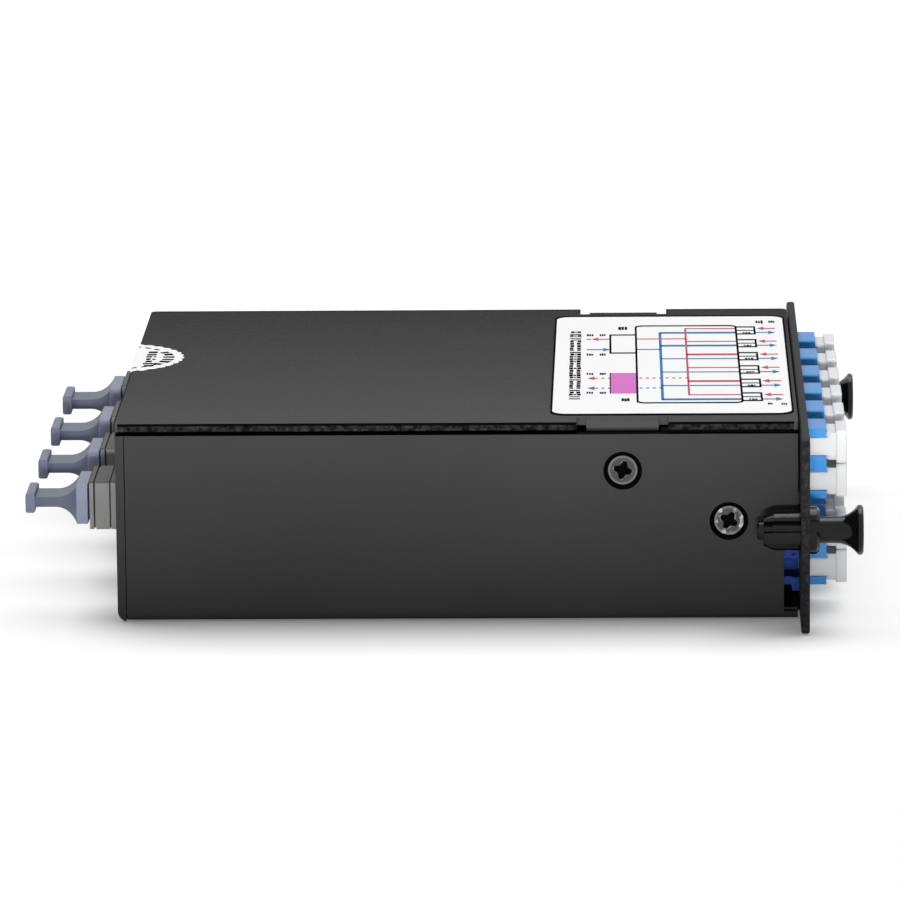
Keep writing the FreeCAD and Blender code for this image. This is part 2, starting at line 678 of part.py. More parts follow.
def latch_plunger(side, drawn):
    """Plunger with a thin tip, a straight neck, and a flared head with a shallow dish."""
    tip_x = -GROMMET_REACH - PLUNGER_TIP_PROUD
    step_x = GROMMET_LIP_LENGTH - GROMMET_REACH + PLUNGER_STEP_GAP
    head_x = PLATE_FRONT + PLUNGER_PROUD
    rim_x = head_x - PLUNGER_HEAD_RIM
    flare_x = rim_x - PLUNGER_FLARE_LENGTH
    rise = PLUNGER_HEAD_RADIUS - PLUNGER_RADIUS
    radius = (PLUNGER_FLARE_LENGTH**2 + rise**2) / (2 * rise)
    half_turn = math.asin(PLUNGER_FLARE_LENGTH / radius) / 2
    mid = (flare_x + radius * math.sin(half_turn), PLUNGER_RADIUS + radius * (1 - math.cos(half_turn)))
    steps = [
        (tip_x, 0),
        (tip_x, PLUNGER_TIP_RADIUS - PLUNGER_CHAMFER),
        (tip_x + PLUNGER_CHAMFER, PLUNGER_TIP_RADIUS),
        (step_x, PLUNGER_TIP_RADIUS),
        (step_x, PLUNGER_RADIUS),
        (flare_x, PLUNGER_RADIUS),
        (mid, (rim_x, PLUNGER_HEAD_RADIUS)),
        (head_x - PLUNGER_CHAMFER, PLUNGER_HEAD_RADIUS),
        (head_x, PLUNGER_HEAD_RADIUS - PLUNGER_CHAMFER),
        (head_x, PLUNGER_HEAD_RADIUS - PLUNGER_DISH_MARGIN),
        (head_x - PLUNGER_DISH, 0),
    ]
    return turned(steps, V(drawn, side * LATCH_Y, LATCH_Z), X_AXIS)


def wiring_label():
    """Label on the lid, with rounded corners."""
    front = -LID_FRONT_GAP - LABEL_FRONT_MARGIN
    ys = (LABEL_NEAR_MARGIN - HALF_BODY, HALF_BODY - LABEL_FAR_MARGIN)
    shape = block((front - LABEL_LENGTH, front), ys, (LID_TOP, LID_TOP + PAPER))
    return rounded(shape, Z_AXIS, LABEL_CORNER)


def seal_sticker():
    """Round seal, creased over the lid's rear edge and cut off above the MPO adapters."""
    edge_x = REAR_WALL_X - LID_REAR_OVERHANG
    beyond = SEAL_RADIUS - SEAL_ON_LID
    on_lid = cylinder(V(edge_x - beyond, SEAL_Y, LID_TOP), Z_AXIS, PAPER, SEAL_RADIUS)
    on_lid = on_lid.common(block((edge_x - PAPER, 0), (-HALF_BODY, HALF_BODY), (0, LID_TOP + PAPER)))
    hanging = cylinder(V(edge_x - PAPER, SEAL_Y, LID_TOP - beyond), X_AXIS, PAPER, SEAL_RADIUS)
    foot = MPO_Z + MPO_HEIGHT / 2 + SEAL_ADAPTER_GAP
    behind = block((edge_x - PAPER, edge_x), (-HALF_BODY, HALF_BODY), (foot, LID_TOP + PAPER))
    hanging = hanging.common(behind)
    return on_lid.fuse(hanging).removeSplitter()


def splitter_places():
    """Y and Z of every splitter tube, in two layers on the rack's base."""
    places = []
    for layer in range(SPLITTER_LAYERS):
        lift = (1 + 2 * layer) * SPLITTER_RADIUS + (1 + layer) * SPLITTER_FIT
        z = FLOOR_TOP + RACK_BASE + lift
        for column in range(SPLITTER_COLUMNS):
            places.append(((column - (SPLITTER_COLUMNS - 1) / 2) * SPLITTER_PITCH, z))
    return places


def splitters():
    """Splitter tubes, as separate solids of one node."""
    start_x = RACK_X - SPLITTER_LENGTH / 2
    tubes = [
        cylinder(V(start_x, y, z), X_AXIS, SPLITTER_LENGTH, SPLITTER_RADIUS)
        for y, z in splitter_places()
    ]
    return Part.makeCompound(tubes)


def splitter_rack():
    """Base on the floor with two combs whose slots hold the tubes."""
    half_length = SPLITTER_LENGTH / 2
    width = SPLITTER_COLUMNS * SPLITTER_PITCH + 2 * RACK_MARGIN
    height = SPLITTER_LAYERS * 2 * SPLITTER_RADIUS
    top = FLOOR_TOP + RACK_BASE + height
    xs = (RACK_X - half_length, RACK_X + half_length)
    shape = block(xs, (-width / 2, width / 2), (FLOOR_TOP, FLOOR_TOP + RACK_BASE))
    for end in (-1, 1):
        x = RACK_X + end * (half_length - COMB_INSET)
        comb_x = (x - COMB_LENGTH / 2, x + COMB_LENGTH / 2)
        comb = block(comb_x, (-width / 2, width / 2), (FLOOR_TOP, top))
        for y, z in splitter_places()[:SPLITTER_COLUMNS]:
            radius = SPLITTER_RADIUS + SPLITTER_FIT
            comb = comb.cut(block(comb_x, (y - radius, y + radius), (FLOOR_TOP + RACK_BASE, top)))
        shape = shape.fuse(comb)
    return shape.removeSplitter()


def fibre_spool(side):
    """Flanged ring on the floor that keeps stored fibre above its smallest bend."""
    inner = SPOOL_RADIUS - SPOOL_WALL
    steps = [
        (0, inner),
        (0, SPOOL_FLANGE_RADIUS),
        (SPOOL_FLANGE, SPOOL_FLANGE_RADIUS),
        (SPOOL_FLANGE, SPOOL_RADIUS),
        (SPOOL_HEIGHT - SPOOL_FLANGE, SPOOL_RADIUS),
        (SPOOL_HEIGHT - SPOOL_FLANGE, SPOOL_FLANGE_RADIUS),
        (SPOOL_HEIGHT, SPOOL_FLANGE_RADIUS),
        (SPOOL_HEIGHT, inner),
    ]
    return turned(steps, V(SPOOL_X, side * (HALF_BODY - SPOOL_SIDE_MARGIN), FLOOR_TOP), Z_AXIS)


def main():
    os.makedirs("parts", exist_ok=True)
    save("tray", tray())
    save("lid", lid())
    save("faceplate", faceplate())
    save("side_screws", side_screws())
    for row, column, y, z in lc_centres():
        save(f"lc_adapter_{row}_{column}", lc_adapter(y, z))
        for port, side in (("top", 1), ("bottom", -1)):
            save(f"lc_cap_{row}_{column}_{port}", lc_cap(y, z + side * LC_PORT_PITCH / 2, side))
    for number, y in mpo_centres():
        save(f"mpo_adapter_{number}", mpo_adapter(y))
        save(f"mpo_cap_{number}", mpo_cap(y))
    for name, side, drawn in (("near", -1, 0.0), ("far", 1, FAR_PLUNGER_DRAWN)):
        save("latch_grommet_" + name, latch_grommet(side))
        save("latch_plunger_" + name, latch_plunger(side, drawn))
        save("fibre_spool_" + name, fibre_spool(side))
    save("wiring_label", wiring_label())
    save("seal_sticker", seal_sticker())
    save("splitters", splitters())
    save("splitter_rack", splitter_rack())


main()
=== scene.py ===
"""Looks of the fibre cassette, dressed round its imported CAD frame.

Metres, in the frame of the CAD: +X out of the front plate, +Z up, -Y the near side. Places in the
materials are in millimetres in that frame. Printed films are laid out in millimetres on their own
flat sheet and then put in place.
"""

import json
import math
import random

import bmesh
import bpy
from mathutils import Matrix, Vector


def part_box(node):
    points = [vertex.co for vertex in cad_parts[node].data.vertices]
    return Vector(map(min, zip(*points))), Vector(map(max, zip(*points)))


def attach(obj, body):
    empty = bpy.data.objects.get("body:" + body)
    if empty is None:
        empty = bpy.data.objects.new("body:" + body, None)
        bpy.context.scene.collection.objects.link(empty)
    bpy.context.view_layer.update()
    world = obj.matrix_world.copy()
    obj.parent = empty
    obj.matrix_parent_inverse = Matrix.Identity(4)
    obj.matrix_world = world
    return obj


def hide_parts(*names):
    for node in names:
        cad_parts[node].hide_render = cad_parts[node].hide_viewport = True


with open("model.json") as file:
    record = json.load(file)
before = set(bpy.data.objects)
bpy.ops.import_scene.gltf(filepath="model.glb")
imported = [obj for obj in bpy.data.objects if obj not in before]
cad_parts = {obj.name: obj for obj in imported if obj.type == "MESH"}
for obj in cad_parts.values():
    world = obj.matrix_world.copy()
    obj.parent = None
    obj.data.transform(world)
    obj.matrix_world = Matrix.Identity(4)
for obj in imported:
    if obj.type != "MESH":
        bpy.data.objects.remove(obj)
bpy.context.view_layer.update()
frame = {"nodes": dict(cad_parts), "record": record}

MM = 0.001
SLOTS = {part["node"]: part["material_slot"] for part in frame["record"]["subparts"]}


# ---------------------------------------------------------------- camera and light

CAMERA_AZIMUTH = math.radians(1.5159)
CAMERA_ELEVATION = math.radians(11.9176)
CAMERA_ROLL = math.radians(-0.5542)
CAMERA_TARGET = Vector((-60.0, 0.0, 18.0)) * MM
CAMERA_OFFSET = Vector((-3.412, 1.898, 1345.85)) * MM
CAMERA_LENS = 291.41
SENSOR = 36.0


def look_axes(back):
    """Right, up and back axes, as a rotation, of something that looks against back and stays upright."""
    back = back.normalized()
    right = Vector((0, 0, 1)).cross(back).normalized()
    return Matrix((right, back.cross(right), back)).transposed()


def make_camera():
    azimuth, elevation = CAMERA_AZIMUTH, CAMERA_ELEVATION
    back = Vector((math.sin(azimuth) * math.cos(elevation), -math.cos(azimuth) * math.cos(elevation),
                   math.sin(elevation)))
    turn = look_axes(back) @ Matrix.Rotation(CAMERA_ROLL, 3, "Z")
    camera = bpy.data.objects.new("camera", bpy.data.cameras.new("camera"))
    bpy.context.scene.collection.objects.link(camera)
    camera.data.sensor_width = SENSOR
    camera.data.lens = CAMERA_LENS
    camera.data.clip_start = 0.01
    camera.data.clip_end = 20.0
    camera.matrix_world = Matrix.Translation(CAMERA_TARGET + turn @ CAMERA_OFFSET) @ turn.to_4x4()
    bpy.context.scene.camera = camera


def make_lamp(name, place, target, size, watts, spread=180.0, mirrored=True):
    """A softbox of size metres at place, facing target.

    spread narrows its beam, as a grid does. One that isn't mirrored makes no highlights.
    """
    data = bpy.data.lights.new(name, "AREA")
    data.shape = "RECTANGLE"
    data.size, data.size_y = size
    data.energy = watts
    data.spread = math.radians(spread)
    lamp = bpy.data.objects.new(name, data)
    bpy.context.scene.collection.objects.link(lamp)
    place = Vector(place)
    lamp.matrix_world = Matrix.Translation(place) @ look_axes(place - Vector(target)).to_4x4()
    lamp.visible_camera = False
    lamp.visible_glossy = mirrored


def make_light():
    make_lamp("key_softbox", (-0.06, 1.95, 5.66), (-0.06, 0.0, 0.02), (7.0, 4.1), 345.0)
    make_lamp("front_strip", (-0.06, -0.62, 0.055), (-0.06, -0.053, 0.058), (1.0, 0.03), 0.36, 14.0, False)
    make_lamp("rear_strip", (-0.06, 0.95, 0.30), (-0.06, -0.16, 0.036), (0.9, 0.02), 0.018, 8.0, False)


# ---------------------------------------------------------------- shader helpers

class Shader:
    """A material with a Principled shader, whose textures lie in the object's own coordinates."""

    def __init__(self, name, **sockets):
        self.material = bpy.data.materials.new(name)
        self.material.use_nodes = True
        self.tree = self.material.node_tree
        self.surface = self.tree.nodes["Principled BSDF"]
        for socket, value in sockets.items():
            self.surface.inputs[socket.replace("_", " ")].default_value = value
        self.coordinates = self.node("TexCoord").outputs["Object"]

    def node(self, kind, **settings):
        made = self.tree.nodes.new("ShaderNode" + kind)
        for key, value in settings.items():
            setattr(made, key, value)
        return made

    def link(self, output, target):
        self.tree.links.new(output, target)

    def stretched(self, factors):
        """The object's coordinates, multiplied along each axis."""
        mapping = self.node("Mapping")
        mapping.inputs["Scale"].default_value = factors
        self.link(self.coordinates, mapping.inputs["Vector"])
        return mapping.outputs["Vector"]

    def noise(self, size, detail=3.0, roughness=0.5, stretch=None):
        """Noise whose features are about size millimetres across."""
        texture = self.node("TexNoise")
        texture.inputs["Scale"].default_value = 1 / (size * MM)
        texture.inputs["Detail"].default_value = detail
        texture.inputs["Roughness"].default_value = roughness
        self.link(self.stretched(stretch) if stretch else self.coordinates, texture.inputs["Vector"])
        return texture.outputs["Fac"]

    def axis(self, name):
        """X, Y or Z of the object's own coordinates, in millimetres."""
        split = self.node("SeparateXYZ")
        self.link(self.stretched((1 / MM,) * 3), split.inputs[0])
        return split.outputs[name]

    def from_line(self, x, z):
        """Distance, in millimetres, from a line that runs along Y through (x, z)."""
        made = self.node("VectorMath", operation="DISTANCE")
        self.link(self.stretched((1 / MM, 0.0, 1 / MM)), made.inputs[0])
        made.inputs[1].default_value = (x, 0.0, z)
        return made.outputs["Value"]

    def math(self, operation, *values):
        made = self.node("Math", operation=operation)
        for socket, value in zip(made.inputs, values):
            if isinstance(value, (int, float)):
                socket.default_value = value
            else:
                self.link(value, socket)
        return made.outputs[0]

    def spread(self, value, low, high, out_low=0.0, out_high=1.0):
        """value from low...high to out_low...out_high, held at the ends."""
        made = self.node("MapRange")
        ends = {"From Min": low, "From Max": high, "To Min": out_low, "To Max": out_high}
        for socket, number in ends.items():
            made.inputs[socket].default_value = number
        self.link(value, made.inputs["Value"])
        return made.outputs["Result"]

    def within(self, value, low, high, soft=0.04):
        """1 where value lies between low and high, fading to 0 just outside."""
        rise = self.spread(value, low - soft, low)
        return self.math("MINIMUM", rise, self.spread(value, high, high + soft, 1, 0))

    def any_of(self, *masks):
        total = masks[0]
        for mask in masks[1:]:
            total = self.math("MAXIMUM", total, mask)
        return total

    def mix(self, factor, first, second):
        """A colour between two colours."""
        made = self.node("Mix", data_type="RGBA")
        for socket, value in ((made.inputs[0], factor), (made.inputs[6], first), (made.inputs[7], second)):
            if isinstance(value, tuple):
                socket.default_value = (*value, 1.0)
            elif isinstance(value, float):
                socket.default_value = value
            else:
                self.link(value, socket)
        return made.outputs[2]

    def scaled(self, colour, factor):
        """colour times factor."""
        made = self.node("VectorMath", operation="SCALE")
        self.link(colour, made.inputs[0])
        self.link(factor, made.inputs["Scale"])
        return made.outputs["Vector"]

    def colour(self, output):
        self.link(output, self.surface.inputs["Base Color"])

    def roughness(self, output, low, high):
        self.link(self.spread(output, 0.3, 0.7, low, high), self.surface.inputs["Roughness"])

    def bump(self, *layers):
        """Relief in layers of (height output, depth in millimetres)."""
        normal = None
        for height, depth in layers:
            made = self.node("Bump")
            made.inputs["Strength"].default_value = 1.0
            made.inputs["Distance"].default_value = depth * MM
            self.link(height, made.inputs["Height"])
            if normal:
                self.link(normal, made.inputs["Normal"])
            normal = made.outputs["Normal"]
        self.link(normal, self.surface.inputs["Normal"])


# ---------------------------------------------------------------- materials

BLACK = (0.0015, 0.0015, 0.0018)
HALF_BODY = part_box("tray")[1][1] / MM
LID_REAR, LID_FRONT = (corner[0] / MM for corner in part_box("lid"))
LID_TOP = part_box("lid")[1][2] / MM
LID_SHEET, SHADOW_GAP, CUT_EDGE = 1.5, 0.65, (0.06, 0.02)
WALL_TOP = LID_TOP - LID_SHEET - SHADOW_GAP
MPO_REAR, MPO_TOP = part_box("mpo_adapter_1")[0][0] / MM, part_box("mpo_adapter_1")[1][2] / MM
MPO_GROOVE_SHADES = ((0.75, 0.97), (3.6, 3.8))
# MPO caps, outwards from their foot: the plug's mouth, the head's end and the handle's square end. The plug
# is painted near-black as shade, the head and handle paler as light
CAP_FOOT = MPO_REAR - 0.1
CAP_PLUG_SHADE, CAP_HEAD, CAP_END = (0.30, 0.22), (2.5, 2.2), (9.7, 9.5)
# LC caps, along X: where the head's paler colour starts, and the bands of painted shade round the head
LC_CAP_HEAD, LC_CAP_RIM_SHADES = (6.5, 6.6), ((6.55, 6.72), (8.36, 8.6))
PLATE_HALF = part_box("faceplate")[1][1] / MM
SCREWS = ((-31.4, 27.3), (-12.6, 18.1))
SCREW_TURNS = (math.radians(15.0), math.radians(28.0))
RECESS_REACH = (0.30, 1.34)
SCREW_RIM_HIGHLIGHT, SCREW_WEAR_AND_HIGHLIGHT = (2.25, 2.7, 0.1), (2.05, 2.7, 0.15)
COUNTERSINK = 3.42
TAB = (-37.8, -25.0)
# painted light on the lid: its coat's colour is multiplied from the near edge to the far one
LID_PAINTED_LIGHT = (1.5, 0.45)
# where the dark lines of painted shade on the lid fade out and in: depths below its top, then distances in
# from its edges
RIM_LINE, FOOT_LINE, TAB_SHADE = (0.50, 0.44), (1.42, 1.36), (1.9, 1.2)
FRONT_LINE, REAR_LINE, FAR_LINE = (0.04, 0.01), (0.18, 0.26), (1.2, 0.9)


def powder_coat(name, dark, painted_light=None):
    """Fine-textured matt black powder coat. dark(shader) marks where shade and dark edges are painted.

    It gives two masks: where the coat is painted black, as shade in gaps and as lines along edges, and where
    it is painted darker and clotted. Its third argument, if given, multiplies the coat's colour by painted
    light.
    """
    shader = Shader(name, Specular_IOR_Level=0.02)
    grain = shader.noise(0.45, 4.0, 0.6)
    peel = shader.noise(1.8, 2.0)
    patches = shader.noise(30.0, 2.0)
    specks = shader.spread(shader.noise(0.7, 5.0, 0.7), 0.62, 0.75)
    base = shader.mix(patches, (0.037, 0.037, 0.0375), (0.046, 0.046, 0.0465))
    base = shader.mix(shader.math("MULTIPLY", specks, 0.35), base, (0.075, 0.075, 0.078))
    if painted_light:
        # painted light: the coat's colour is scaled by a gradient that stands for light
        base = shader.scaled(base, painted_light(shader))
    black, darker_clotted = dark(shader)
    clots = shader.spread(shader.noise(1.3, 5.0, 0.65), 0.42, 0.68)
    base = shader.mix(darker_clotted, base, shader.mix(clots, (0.004, 0.004, 0.005), (0.040, 0.040, 0.042)))
    # painted shade: black where the first mask marks gaps and edge lines
    shader.colour(shader.mix(black, base, BLACK))
    shader.roughness(grain, 0.50, 0.66)
    shader.bump((peel, 0.05), (grain, 0.035))
    return shader.material


def tray_painted_shade(shader):
    """Painted shade: black in the countersinks round the screw heads, and on the wall's top, which lies in
    the gap under the lid.
    """
    # painted shade: the countersinks round the screws are painted black
    rings = [shader.spread(shader.from_line(x, z), COUNTERSINK, COUNTERSINK + 0.04, 1, 0) for x, z in SCREWS]
    # painted shade: the wall's top, in the gap under the lid, is painted black
    top = shader.within(shader.axis("Z"), WALL_TOP - 0.03, LID_TOP)
    return shader.any_of(top, *rings), 0.0


def lid_painted_light(shader):
    """Painted light on the lid's coat: palest at its near edge and darkest at its far one."""
    return shader.spread(shader.axis("Y"), -HALF_BODY, HALF_BODY, *LID_PAINTED_LIGHT)


def lid_shade_lines_and_dark_edges(shader):
    """Black lines of painted shade along the top and foot of the lid's cut edges, below its tabs' bend, and
    along the top's front, rear and far edges; and the cut edges, but not the tabs, painted darker and
    clotted.
    """
    x, y, z = shader.axis("X"), shader.math("ABSOLUTE", shader.axis("Y")), shader.axis("Z")
    cut = shader.spread(y, HALF_BODY - CUT_EDGE[0], HALF_BODY - CUT_EDGE[1])
    side = shader.math("SUBTRACT", cut, shader.within(x, *TAB))
    rim = shader.spread(z, LID_TOP - RIM_LINE[0], LID_TOP - RIM_LINE[1])
    foot = shader.spread(z, LID_TOP - FOOT_LINE[0], LID_TOP - FOOT_LINE[1], 1, 0)
    tab_foot = shader.spread(z, LID_TOP - TAB_SHADE[0], LID_TOP - TAB_SHADE[1], 1, 0)
    tab = shader.math("MULTIPLY", shader.within(x, *TAB), tab_foot)
    front = shader.spread(x, LID_FRONT - FRONT_LINE[0], LID_FRONT - FRONT_LINE[1])
    rear = shader.spread(x, LID_REAR + REAR_LINE[0], LID_REAR + REAR_LINE[1], 1, 0)
    far = shader.spread(shader.axis("Y"), HALF_BODY - FAR_LINE[0], HALF_BODY - FAR_LINE[1])
    # painted shade: dark lines along the cut edges' top and foot, below the tabs and along the top's edges
    line = shader.math("MULTIPLY", shader.any_of(rim, foot), side)
    return shader.any_of(line, tab, front, rear, far), side


def plate_dark(shader):
    """The plate's cut ends."""
    y = shader.math("ABSOLUTE", shader.axis("Y"))
    return 0.0, shader.math("MULTIPLY", shader.spread(y, PLATE_HALF - 0.5, PLATE_HALF - 0.35), 0.75)


def recess(shader, place, turn, radius):
    """Masks of the four-lobed mouth of a screw's recess at place, (x, z), its arms turned by turn, painted
    black as shade, and of its lip, painted as a highlight.
    """
    across = shader.math("SUBTRACT", shader.axis("X"), place[0])
    up = shader.math("SUBTRACT", shader.axis("Z"), place[1])
    turned = shader.math("MULTIPLY_ADD", shader.math("SIGN", shader.axis("Y")), -turn,
                         shader.math("ARCTAN2", up, across))
    lobes = shader.math("COSINE", shader.math("MULTIPLY", turned, 4.0))
    outside = shader.math("SUBTRACT", radius, shader.math("MULTIPLY_ADD", lobes, *RECESS_REACH))
    return shader.spread(outside, -0.04, 0.04, 1, 0), shader.within(outside, 0.05, 0.16, 0.06)


def screw_metal():
    """Black-plated steel. The recess's mouth is painted black as shade, a ring on the rim and a lip round the
    mouth are painted highlights, and the second screw's outer rim has patches of wear with a painted
    highlight.
    """
    shader = Shader("screw_metal", Metallic=0.9)
    fine = shader.noise(0.25, 4.0, 0.6)
    radii = [shader.from_line(x, z) for x, z in SCREWS]
    nearest = shader.math("MINIMUM", *radii)
    # painted highlight: a paler ring on the screws' rims
    rim = shader.within(nearest, *SCREW_RIM_HIGHLIGHT)
    patchy = shader.spread(shader.noise(1.6, 3.0, 0.6), 0.52, 0.60)
    # wear with a painted highlight: bright patches on the second screw's outer rim
    wear_and_highlight_band = shader.math("MULTIPLY", shader.within(nearest, *SCREW_WEAR_AND_HIGHLIGHT), patchy)
    wear_and_highlight = shader.math("MULTIPLY", wear_and_highlight_band, shader.within(radii[1], 0.0, 3.0))
    plated = shader.mix(fine, (0.070, 0.070, 0.072), (0.110, 0.110, 0.113))
    plated = shader.mix(shader.math("MULTIPLY", rim, 0.6), plated, (0.26, 0.26, 0.262))
    recess_shades, lip_highlights = zip(*(recess(shader, *screw) for screw in zip(SCREWS, SCREW_TURNS, radii)))
    # painted highlight: a paler lip round each recess's mouth
    plated = shader.mix(shader.math("MULTIPLY", shader.any_of(*lip_highlights), patchy), plated, (0.40, 0.40, 0.405))
    plated = shader.mix(wear_and_highlight, plated, (0.62, 0.62, 0.63))
    # painted shade: the recess's mouth is black
    shader.colour(shader.mix(shader.any_of(*recess_shades), plated, BLACK))
    shader.roughness(fine, 0.42, 0.60)
    shader.bump((fine, 0.010))
    return shader.material


def black_nylon():
    """Glossy moulded nylon with faint flow waves."""
    shader = Shader("black_nylon", Specular_IOR_Level=0.24)
    waves = shader.noise(2.2, 2.0)
    fine = shader.noise(0.2, 3.0)
    shader.colour(shader.mix(fine, (0.002, 0.002, 0.0022), (0.005, 0.005, 0.0053)))
    shader.roughness(fine, 0.10, 0.16)
    shader.bump((waves, 0.06), (fine, 0.002))
    return shader.material


def blue_adapter():
    """Semi-gloss blue moulding, its tone uneven along the flow, painted darker inside the housing, behind the
    plate, as shade.
    """
    shader = Shader("blue_adapter", Specular_IOR_Level=0.12)
    flow = shader.noise(5.0, 2.0, stretch=(0.35, 1.0, 1.0))
    fine = shader.noise(0.18, 3.0)
    outside = shader.mix(flow, (0.038, 0.222, 0.570), (0.080, 0.302, 0.670))
    inside = shader.mix(flow, (0.015, 0.040, 0.230), (0.050, 0.110, 0.460))
    # painted shade: darker blue behind the plate, inside the housing
    shader.colour(shader.mix(shader.spread(shader.axis("X"), -0.1, 0.0), inside, outside))
    shader.roughness(fine, 0.30, 0.42)
    shader.bump((flow, 0.03), (fine, 0.004))
    return shader.material


def clear_white_cap():
    """Natural polyethylene, translucent and waxy. Its neck is painted a little darker than its head, and
    bands round the head darker still, as shade.
    """
    shader = Shader("clear_white_cap", Specular_IOR_Level=0.3, Subsurface_Weight=0.6, Subsurface_Scale=0.003)
    shader.surface.inputs["Subsurface Radius"].default_value = (1.0, 1.0, 1.1)
    flow = shader.noise(2.5, 3.0, stretch=(0.5, 1.0, 1.0))
    fine = shader.noise(0.15, 3.0)
    x = shader.axis("X")
    neck = shader.mix(flow, (0.65, 0.66, 0.67), (0.73, 0.73, 0.735))
    head = shader.mix(flow, (0.68, 0.69, 0.70), (0.75, 0.75, 0.75))
    # painted shade: darker bands round the head's edges
    rim_shades = shader.any_of(*(shader.within(x, *rim) for rim in LC_CAP_RIM_SHADES))
    # painted shade: the neck a little darker than the head
    body = shader.mix(shader.spread(x, *LC_CAP_HEAD), neck, head)
    shader.colour(shader.mix(rim_shades, body, (0.56, 0.56, 0.57)))
    shader.roughness(fine, 0.34, 0.48)
    shader.bump((flow, 0.03), (fine, 0.004))
    return shader.material


def grey_adapter():
    """Matt grey moulding with spark-eroded grain. Its top is painted darker than its sides, as shade, and its
    grooves black, as shade.
    """
    shader = Shader("grey_adapter", Specular_IOR_Level=0.2)
    grain = shader.noise(0.22, 4.0, 0.6)
    flow = shader.noise(4.0, 3.0, stretch=(1.0, 1.0, 0.4))
    # painted shade: the top is darker than the sides
    top = shader.spread(shader.axis("Z"), MPO_TOP - 0.35, MPO_TOP - 0.15)
    side = shader.mix(flow, (0.140, 0.140, 0.138), (0.240, 0.240, 0.237))
    x = shader.axis("X")
    # painted shade: the grooves are black
    groove_shades = shader.any_of(*(shader.within(x, MPO_REAR + low, MPO_REAR + high) for low, high in MPO_GROOVE_SHADES))
    body = shader.mix(top, side, (0.078, 0.077, 0.074))
    shader.colour(shader.mix(groove_shades, body, (0.012, 0.012, 0.012)))
    shader.roughness(grain, 0.5, 0.66)
    shader.bump((grain, 0.012))
    return shader.material


def blue_grey_cap():
    """Satin blue-grey moulding with streaks along the pull. Its head and square handle end are painted paler
    as light, its neck darker as shade, and its plug near-black as shade where it shows in the gap at the
    foot.
    """
    shader = Shader("blue_grey_cap", Specular_IOR_Level=0.3)
    streaks = shader.noise(3.0, 4.0, 0.55, stretch=(0.3, 1.0, 1.0))
    fine = shader.noise(0.2, 3.0)
    x = shader.axis("X")
    head = shader.spread(x, CAP_FOOT - CAP_HEAD[0], CAP_FOOT - CAP_HEAD[1])
    handle = shader.spread(x, CAP_FOOT - CAP_END[0], CAP_FOOT - CAP_END[1], 0.4, 0.0)
    neck = shader.mix(streaks, (0.080, 0.092, 0.136), (0.116, 0.130, 0.180))
    ends = shader.mix(streaks, (0.180, 0.195, 0.270), (0.230, 0.250, 0.345))
    plug_shade = shader.spread(x, CAP_FOOT - CAP_PLUG_SHADE[0], CAP_FOOT - CAP_PLUG_SHADE[1])
    # painted light and shade: paler head and handle end, darker neck
    body = shader.mix(shader.any_of(head, handle), neck, ends)
    # painted shade: the plug in the gap at the foot is near-black
    shader.colour(shader.mix(plug_shade, body, (0.002, 0.002, 0.016)))
    shader.roughness(fine, 0.42, 0.56)
    shader.bump((streaks, 0.03), (fine, 0.005))
    return shader.material


def black_shade_strip():
    """Near-black strip with a pore-like grain, put where the gaps show only shade."""
    shader = Shader("black_shade_strip", Specular_IOR_Level=0.05)
    pores = shader.noise(0.3, 4.0, 0.7)
    shader.colour(shader.mix(pores, (0.0012, 0.0012, 0.0014), (0.004, 0.004, 0.0042)))
    shader.roughness(pores, 0.7, 0.9)
    shader.bump((pores, 0.06))
    return shader.material


def film(name, first, second, low, high, shine=0.015):
    """A printed or bare film: colour a little uneven, fine tooth in the surface."""
    shader = Shader(name, Specular_IOR_Level=shine)
    cloud = shader.noise(7.0, 3.0)
    tooth = shader.noise(0.12, 4.0, 0.6)
    shader.colour(shader.mix(cloud, first, second))
    shader.roughness(tooth, low, high)
    shader.bump((tooth, 0.003))
    return shader.material


def splitter_steel():
    """Drawn stainless tube, with fine lines along its length."""
    shader = Shader("splitter_steel", Metallic=1.0)
    lines = shader.noise(0.3, 4.0, 0.6, stretch=(0.03, 1.0, 1.0))
    shader.colour(shader.mix(lines, (0.46, 0.46, 0.48), (0.62, 0.62, 0.63)))
    shader.roughness(lines, 0.22, 0.36)
    shader.bump((lines, 0.004))
    return shader.material


def grey_moulding():
    """Plain grey moulding inside the housing."""
    shader = Shader("grey_moulding", Specular_IOR_Level=0.4)
    flow = shader.noise(4.0, 3.0)
    fine = shader.noise(0.2, 3.0)
    shader.colour(shader.mix(flow, (0.22, 0.22, 0.22), (0.30, 0.30, 0.30)))
    shader.roughness(fine, 0.42, 0.56)
    shader.bump((fine, 0.006))
    return shader.material


def paint_nodes():
    """Each CAD node gets the finish of its slot in the record, and each sheet metal node its own coat."""
    coats = {
        "tray": powder_coat("tray_coat", tray_painted_shade),
        "lid": powder_coat("lid_coat", lid_shade_lines_and_dark_edges, lid_painted_light),
        "faceplate": powder_coat("plate_coat", plate_dark),
    }
    finishes = {
        "black_screw": screw_metal(), "black_nylon": black_nylon(),
        "blue_adapter": blue_adapter(), "clear_white_cap": clear_white_cap(),
        "grey_adapter": grey_adapter(), "blue_grey_cap": blue_grey_cap(),
        "splitter_steel": splitter_steel(), "grey_moulding": grey_moulding(),
        "label_film": FILM_WHITE, "seal_film": FILM_WHITE,
    }
    for name, node in frame["nodes"].items():
        for slot in node.material_slots:
            slot.material = coats.get(name) or finishes[SLOTS[name]]


# ---------------------------------------------------------------- floor and world

FLOOR_LIT = (0.92, 0.925)
# colour and glow that are seen directly, along the body's sides and past its ends, where the stronger glow
# paints out the shadows
FLOOR_SHOWN = (1.0, 0.42)
FLOOR_GLOW = (0.12, 0.63)
FLOOR_FADE = (9.0, 3.0)
FLOOR_REACH = 6.0
DOME_DIFFUSE = 0.22


